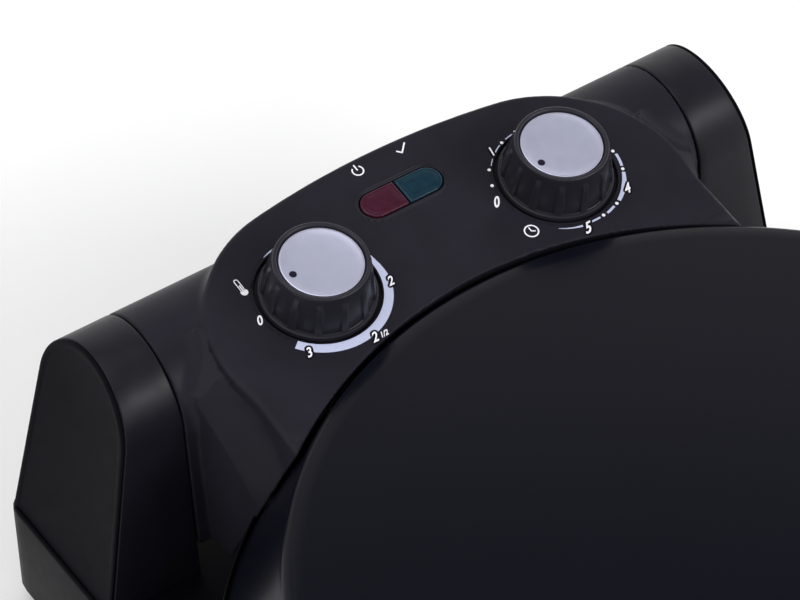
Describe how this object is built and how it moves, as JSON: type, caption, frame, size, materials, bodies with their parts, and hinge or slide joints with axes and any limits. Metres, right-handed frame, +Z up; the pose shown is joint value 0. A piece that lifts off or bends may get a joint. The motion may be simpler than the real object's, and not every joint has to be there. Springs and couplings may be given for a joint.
{
  "type": "electric pizza maker",
  "caption": "Round clamshell pizza oven with a baking stone, a lid hinged between two ears of the base, and a tilted control housing with temperature and timer dials.",
  "frame": {"origin": "on the floor, under the middle of the whole width and depth, lid closed", "axes": "+X to the right for a user in front of the grips, +Y towards the hinge, +Z up"},
  "size_m": [0.3468, 0.45, 0.1613],
  "materials": {
    "black_plastic": "fine grained black",
    "panel_plastic": "fine grained black, satin",
    "knob_plastic": "smooth black, satin",
    "grip_plastic": "smooth black, heat-resistant",
    "timer_plastic": "plain",
    "lid_paint": "satin black paint",
    "bowl_steel": "aluminised sheet, bright satin",
    "trim_steel": "black enamel on steel",
    "plated_steel": "zinc plated",
    "pin_steel": "turned",
    "heating_tube": "dull oxidised steel",
    "stone": "fired refractory clay",
    "ceramic": "unglazed",
    "rubber": "matt",
    "cap_aluminium": "fine satin",
    "bush_brass": "sintered",
    "red_lens": "translucent red",
    "green_lens": "translucent green",
    "lamp_glass": "clear"
  },
  "bodies": {
    "base": {"base_shell": "black_plastic", "base_cover": "black_plastic", "base_bowl": "bowl_steel", "base_trim": "trim_steel", "stone": "stone", "stone_brackets": "plated_steel", "lower_element": "heating_tube", "lower_clips": "plated_steel", "lower_terminals": "ceramic", "heat_shield": "plated_steel", "shield_pillars": "plated_steel", "ear_left": "black_plastic", "ear_right": "black_plastic", "ear_cap_left": "black_plastic", "ear_cap_right": "black_plastic", "hinge_pin_left": "pin_steel", "hinge_pin_right": "pin_steel", "base_grip": "grip_plastic", "base_grip_screws": "plated_steel", "feet": "rubber", "cover_screws": "plated_steel", "cord_bush": "rubber", "terminal_block": "ceramic", "thermal_fuse": "ceramic"},
    "lid": {"lid_dome": "lid_paint", "lid_reflector": "bowl_steel", "lid_rim": "trim_steel", "upper_element": "heating_tube", "upper_clips": "plated_steel", "upper_terminals": "ceramic", "control_housing": "panel_plastic", "housing_cover": "panel_plastic", "lid_brackets": "plated_steel", "housing_screws": "plated_steel", "control_bracket": "plated_steel", "thermostat_body": "ceramic", "timer_body": "timer_plastic", "lamp_bezel": "panel_plastic", "red_lens": "red_lens", "green_lens": "green_lens", "neon_lamps": "lamp_glass", "hinge_bush_left": "bush_brass", "hinge_bush_right": "bush_brass", "handle_grip": "grip_plastic", "handle_posts": "grip_plastic", "handle_screws": "plated_steel"},
    "temp_dial": {"temp_knob": "knob_plastic", "temp_cap": "cap_aluminium", "temp_shaft": "pin_steel"},
    "timer_dial": {"timer_knob": "knob_plastic", "timer_cap": "cap_aluminium", "timer_shaft": "pin_steel"}
  },
  "joints": [
    {"name": "lid_hinge", "type": "hinge", "parent": "base", "child": "lid", "pos_m": [0, 0.18295, 0.116], "axis": [-1, 0, 0], "range_deg": [0, 95]},
    {"name": "temp_turn", "type": "hinge", "parent": "lid", "child": "temp_dial", "pos_m": [-0.05, 0.16425, 0.142], "axis": [0, 0.1633, -0.9866], "range_deg": [0, 310]},
    {"name": "timer_turn", "type": "hinge", "parent": "lid", "child": "timer_dial", "pos_m": [0.05, 0.16425, 0.142], "axis": [0, 0.1633, -0.9866], "range_deg": [0, 285]}
  ]
}
